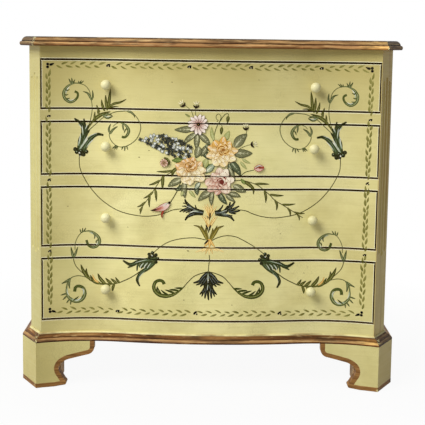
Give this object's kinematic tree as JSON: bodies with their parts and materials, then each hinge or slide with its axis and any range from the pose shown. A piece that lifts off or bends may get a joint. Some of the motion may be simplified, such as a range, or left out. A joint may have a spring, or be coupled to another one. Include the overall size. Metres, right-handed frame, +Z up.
{
  "type": "chest of drawers",
  "caption": "Serpentine-front chest of drawers with canted fluted corners, moulded top, scrolled bracket feet, round knobs and painted floral ornament.",
  "frame": {"origin": "on the floor under the middle of the whole chest's box", "axes": "+Z up, -Y the drawer fronts' side, +X to the right of a person facing the front"},
  "size_m": [0.94, 0.484, 0.8625],
  "materials": {
    "cream_paint": "satin, glazed and lightly distressed paint",
    "top_finish": "antiqued brown and gold on the moulded edge, glazed paint on the field",
    "gilded_moulding": "antiqued gold and brown",
    "bare_wood": "unfinished wood",
    "knob_paint": "satin paint"
  },
  "bodies": {
    "case": {"back_foot_rear_left": "cream_paint", "back_foot_rear_right": "cream_paint", "back_foot_side_left": "cream_paint", "back_foot_side_right": "cream_paint", "back_panel": "bare_wood", "base_moulding_cant_left": "gilded_moulding", "base_moulding_cant_right": "gilded_moulding", "base_moulding_front": "gilded_moulding", "base_moulding_side_left": "gilded_moulding", "base_moulding_side_right": "gilded_moulding", "base_rail": "cream_paint", "bottom_board": "bare_wood", "corner_post_left": "cream_paint", "corner_post_right": "cream_paint", "drawer_1_runners": "bare_wood", "drawer_2_runners": "bare_wood", "drawer_3_runners": "bare_wood", "drawer_4_runners": "bare_wood", "drawer_rail_1": "cream_paint", "drawer_rail_2": "cream_paint", "drawer_rail_3": "cream_paint", "drawer_stops": "bare_wood", "foot_glue_blocks": "bare_wood", "front_foot_cant_left": "cream_paint", "front_foot_cant_right": "cream_paint", "front_foot_face_left": "cream_paint", "front_foot_face_right": "cream_paint", "front_foot_side_left": "cream_paint", "front_foot_side_right": "cream_paint", "side_panel_left": "cream_paint", "side_panel_right": "cream_paint", "top_board": "top_finish", "top_kickers": "bare_wood", "top_rail": "cream_paint"},
    "drawer_1": {"drawer_1_back": "bare_wood", "drawer_1_bottom": "bare_wood", "drawer_1_front": "cream_paint", "drawer_1_knobs": "knob_paint", "drawer_1_side_left": "bare_wood", "drawer_1_side_right": "bare_wood"},
    "drawer_2": {"drawer_2_back": "bare_wood", "drawer_2_bottom": "bare_wood", "drawer_2_front": "cream_paint", "drawer_2_knobs": "knob_paint", "drawer_2_side_left": "bare_wood", "drawer_2_side_right": "bare_wood"},
    "drawer_3": {"drawer_3_back": "bare_wood", "drawer_3_bottom": "bare_wood", "drawer_3_front": "cream_paint", "drawer_3_knobs": "knob_paint", "drawer_3_side_left": "bare_wood", "drawer_3_side_right": "bare_wood"},
    "drawer_4": {"drawer_4_back": "bare_wood", "drawer_4_bottom": "bare_wood", "drawer_4_front": "cream_paint", "drawer_4_knobs": "knob_paint", "drawer_4_side_left": "bare_wood", "drawer_4_side_right": "bare_wood"}
  },
  "joints": [
    {"name": "drawer_1_slide", "type": "slide", "parent": "case", "child": "drawer_1", "axis": [0, -1, 0], "range_m": [0, 0.32]},
    {"name": "drawer_2_slide", "type": "slide", "parent": "case", "child": "drawer_2", "axis": [0, -1, 0], "range_m": [0, 0.32]},
    {"name": "drawer_3_slide", "type": "slide", "parent": "case", "child": "drawer_3", "axis": [0, -1, 0], "range_m": [0, 0.32]},
    {"name": "drawer_4_slide", "type": "slide", "parent": "case", "child": "drawer_4", "axis": [0, -1, 0], "range_m": [0, 0.32]}
  ]
}
